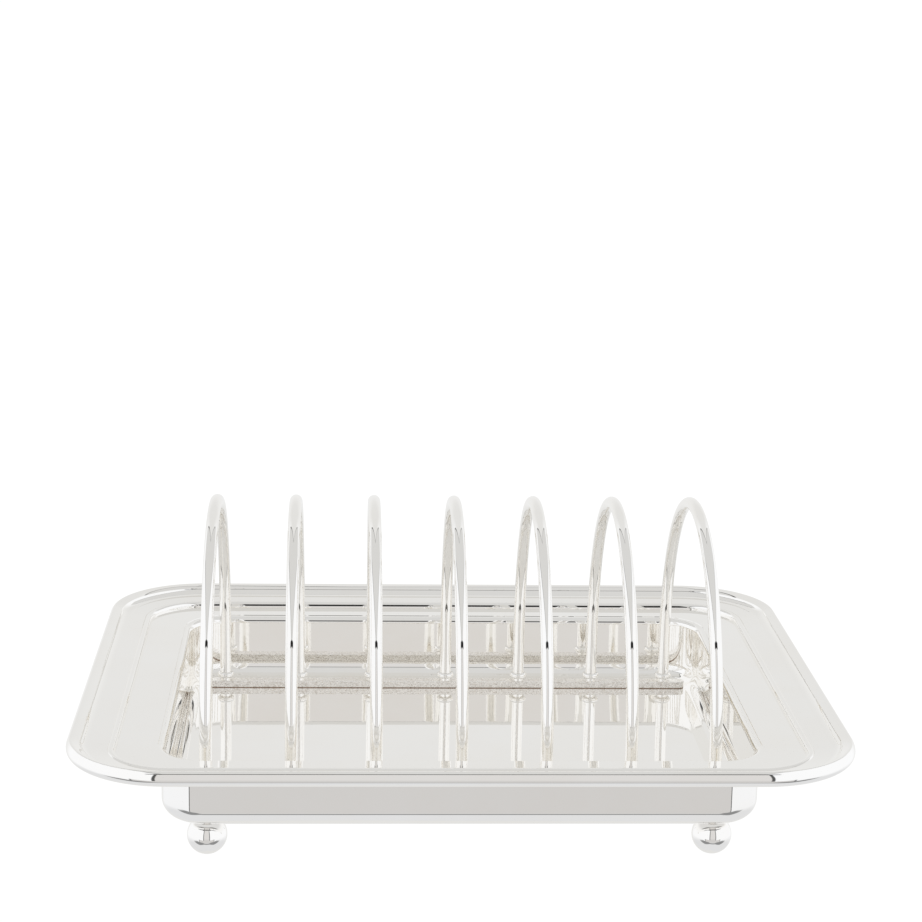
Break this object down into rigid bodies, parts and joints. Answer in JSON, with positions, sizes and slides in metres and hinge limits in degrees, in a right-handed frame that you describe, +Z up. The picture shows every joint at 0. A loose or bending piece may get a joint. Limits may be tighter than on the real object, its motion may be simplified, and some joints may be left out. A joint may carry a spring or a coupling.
{
  "type": "toast rack",
  "caption": "Silver-plated toast rack: bent-wire arches on two foot bars, standing loose in a rectangular footed tray with a stepped rim.",
  "frame": {"origin": "middle of the footprint, on the surface the ball feet stand on", "axes": "+Z up, +X to the right along the row of arches, +Y to the rear; the front is -Y"},
  "size_m": [0.202, 0.1674, 0.0813],
  "materials": {
    "pan_silver": "mirror-polished silver plate with fine wiping scratches",
    "border_silver": "mirror-polished silver plate",
    "foot_silver": "mirror-polished silver plate",
    "bar_silver": "silver plate over a file-finished bar, slightly rough and warm in tone",
    "wire_silver": "mirror-polished silver plate",
    "collar_silver": "mirror-polished silver plate"
  },
  "bodies": {
    "tray": {"tray_pan": "pan_silver", "rim_border": "border_silver", "foot_front_left": "foot_silver", "foot_front_right": "foot_silver", "foot_rear_left": "foot_silver", "foot_rear_right": "foot_silver"},
    "rack": {"front_bar": "bar_silver", "rear_bar": "bar_silver", "arch_1": "wire_silver", "arch_2": "wire_silver", "arch_3": "wire_silver", "arch_4": "wire_silver", "arch_5": "wire_silver", "arch_6": "wire_silver", "arch_7": "wire_silver", "front_collar_1": "collar_silver", "front_collar_2": "collar_silver", "front_collar_3": "collar_silver", "front_collar_4": "collar_silver", "front_collar_5": "collar_silver", "front_collar_6": "collar_silver", "front_collar_7": "collar_silver", "rear_collar_1": "collar_silver", "rear_collar_2": "collar_silver", "rear_collar_3": "collar_silver", "rear_collar_4": "collar_silver", "rear_collar_5": "collar_silver", "rear_collar_6": "collar_silver", "rear_collar_7": "collar_silver"}
  },
  "joints": [
    {"name": "rack_lift", "type": "slide", "parent": "tray", "child": "rack", "axis": [0, 0, 1], "range_m": [0, 0.08]}
  ]
}
